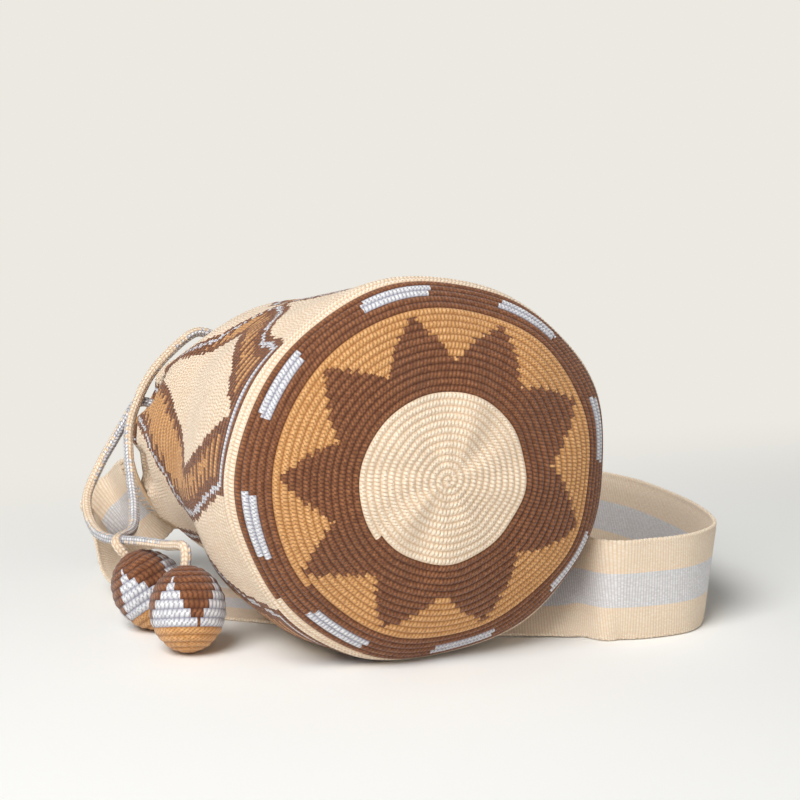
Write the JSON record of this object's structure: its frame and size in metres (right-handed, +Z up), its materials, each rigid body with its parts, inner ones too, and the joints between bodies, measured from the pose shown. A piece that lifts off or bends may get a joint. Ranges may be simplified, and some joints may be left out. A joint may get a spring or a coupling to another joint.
{
  "type": "crossbody bag",
  "caption": "Crocheted bucket-shaped crossbody bag lying on its side, with a woven strap and a drawcord ending in crocheted balls.",
  "frame": {"origin": "bottom centre of the bounding box of the bag, strap and balls without the drawcord, on the surface the bag lies on", "axes": "+Z up; the domed base faces -Y and the gathered mouth faces +Y; the larger loop of the strap lies on the +X side"},
  "size_m": [0.364, 0.313, 0.212],
  "materials": {
    "cream_yarn": "matte",
    "strap_weave": "matte",
    "cord_braid": "matte",
    "brown_yarn": "matte",
    "stuffing": "matte"
  },
  "bodies": {
    "root": {"bag_body": "cream_yarn", "shoulder_strap": "strap_weave", "drawcord": "cord_braid", "ball_cover_front": "brown_yarn", "ball_cover_back": "brown_yarn", "ball_filling_front": "stuffing", "ball_filling_back": "stuffing"}
  },
  "joints": []
}
